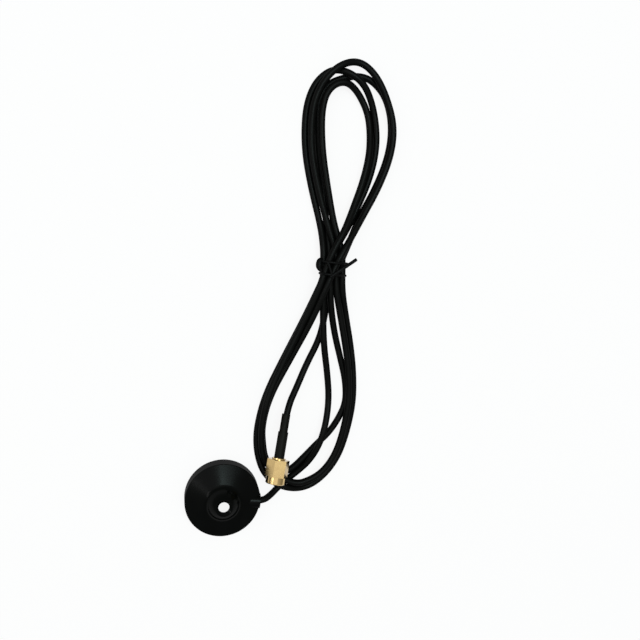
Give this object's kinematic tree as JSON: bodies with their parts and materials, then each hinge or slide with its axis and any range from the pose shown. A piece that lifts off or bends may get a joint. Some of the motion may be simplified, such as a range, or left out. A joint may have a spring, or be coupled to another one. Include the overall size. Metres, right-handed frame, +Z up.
{
  "type": "antenna",
  "caption": "Low round black disc antenna with a see-through centre fixing hole, a long thin coaxial cable in a tied hank and a gold screw-on coaxial plug.",
  "frame": {"origin": "On the surface that the adhesive pad stands on, under the centre of the disc.", "axes": "+Z up through the disc's fixing hole, +X outwards along the cable boss, the hank lying towards +Y."},
  "size_m": [0.071, 0.1959, 0.0153],
  "materials": {
    "housing_plastic": "glossy moulded plastic",
    "cover_plastic": "matt moulded plastic",
    "pad_foam": "closed-cell foam",
    "board_laminate": "green solder mask",
    "copper": "bare copper",
    "solder": "soft solder",
    "braid_wire": "tinned braid",
    "white_insulator": "waxy white plastic",
    "bush_rubber": "soft rubber",
    "cable_jacket": "satin extruded jacket",
    "sleeve_plastic": "shrunk sleeve",
    "gold_plate": "bright gold plate",
    "clip_metal": "spring bronze",
    "tie_plastic": "coated wire"
  },
  "bodies": {
    "antenna": {"housing": "housing_plastic", "base_cover": "cover_plastic", "adhesive_pad": "pad_foam", "circuit_board": "board_laminate", "radiator_trace": "copper", "ground_trace": "copper", "feed_solder": "solder", "ground_solder": "solder", "coax_braid": "braid_wire", "coax_dielectric": "white_insulator", "coax_wire": "copper", "cable_bush": "bush_rubber", "cable": "cable_jacket", "rear_sleeve": "sleeve_plastic", "front_sleeve": "sleeve_plastic", "crimp_ferrule": "gold_plate", "plug_body": "gold_plate", "retaining_clip": "clip_metal", "sealing_gasket": "bush_rubber", "plug_insulator": "white_insulator", "centre_pin": "gold_plate", "twist_tie": "tie_plastic"},
    "nut": {"coupling_nut": "gold_plate"}
  },
  "joints": [
    {"name": "nut_spin", "type": "hinge", "parent": "antenna", "child": "nut", "pos_m": [0.02035, 0.01673, 0.0103], "axis": [-0.0905, -0.9818, 0.1667], "continuous": true}
  ]
}
